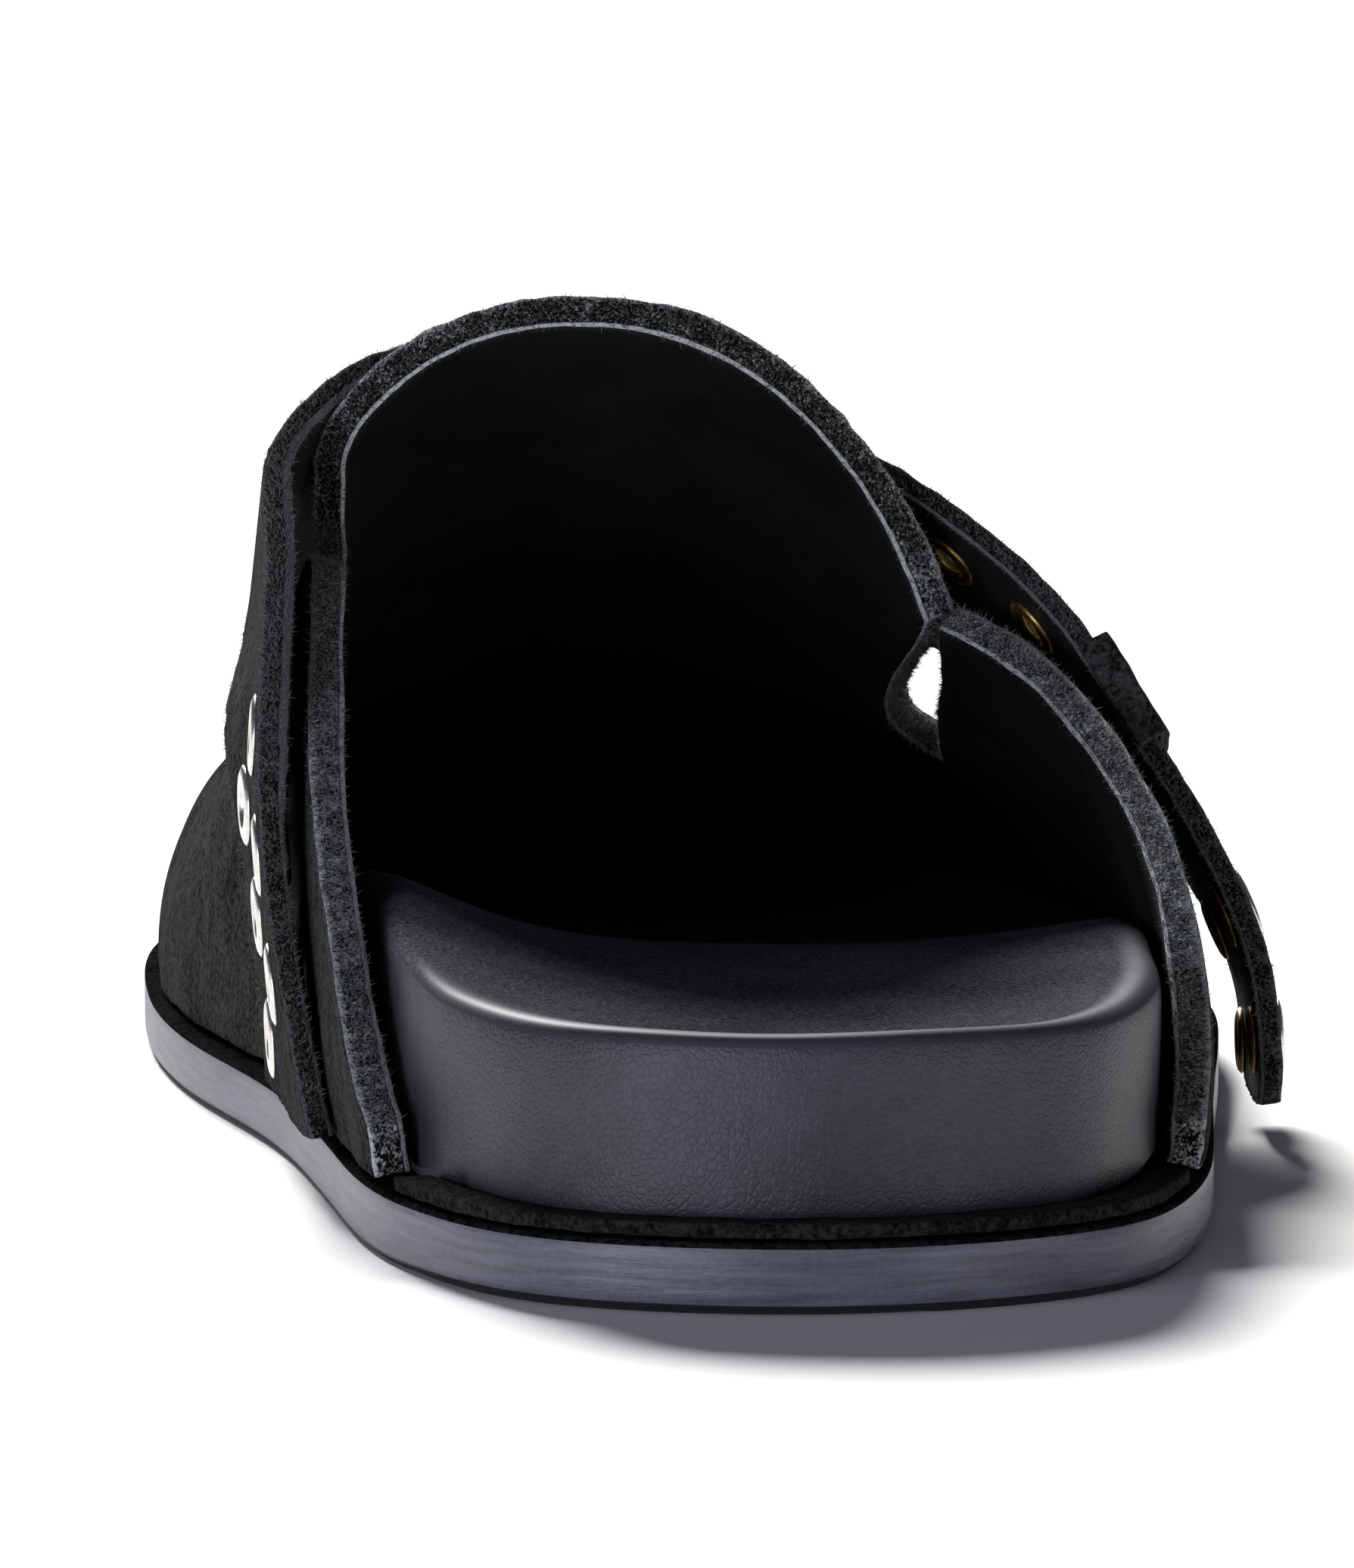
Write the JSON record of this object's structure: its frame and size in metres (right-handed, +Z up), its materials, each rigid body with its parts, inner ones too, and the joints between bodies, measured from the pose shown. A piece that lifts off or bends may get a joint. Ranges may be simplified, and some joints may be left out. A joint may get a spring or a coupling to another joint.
{
  "type": "mule",
  "caption": "Backless suede mule for the right foot, black, with a moulded leather footbed, flat leather sole and an eyelet strap over the instep",
  "frame": {"origin": "on the floor, under the middle of the whole shoe", "axes": "+X to the outer side of the right foot, +Y from heel to toe, +Z up"},
  "size_m": [0.0986, 0.2496, 0.0728],
  "materials": {
    "sole_leather": "smooth, dyed black, a little worn",
    "rand_suede": "rough grey-brown suede strip",
    "footbed_leather": "fine-grained leather side with a soft sheen, nubuck top",
    "upper_suede": "black suede outside, smooth leather lining",
    "strap_suede": "black suede, smooth leather on the back",
    "keeper_suede": "black suede",
    "eyelet_metal": "bright plated metal"
  },
  "bodies": {
    "root": {"eyelet_front_01": "eyelet_metal", "eyelet_front_02": "eyelet_metal", "eyelet_front_03": "eyelet_metal", "eyelet_front_08": "eyelet_metal", "eyelet_front_09": "eyelet_metal", "eyelet_front_10": "eyelet_metal", "eyelet_front_11": "eyelet_metal", "eyelet_front_12": "eyelet_metal", "eyelet_front_13": "eyelet_metal", "eyelet_front_14": "eyelet_metal", "eyelet_front_17": "eyelet_metal", "eyelet_front_18": "eyelet_metal", "eyelet_rear_01": "eyelet_metal", "eyelet_rear_02": "eyelet_metal", "eyelet_rear_03": "eyelet_metal", "eyelet_rear_08": "eyelet_metal", "eyelet_rear_09": "eyelet_metal", "eyelet_rear_10": "eyelet_metal", "eyelet_rear_11": "eyelet_metal", "eyelet_rear_12": "eyelet_metal", "eyelet_rear_13": "eyelet_metal", "eyelet_rear_14": "eyelet_metal", "eyelet_rear_17": "eyelet_metal", "eyelet_rear_18": "eyelet_metal", "footbed": "footbed_leather", "heel_rand": "rand_suede", "keeper": "keeper_suede", "outsole": "sole_leather", "strap": "strap_suede", "upper": "upper_suede"}
  },
  "joints": []
}
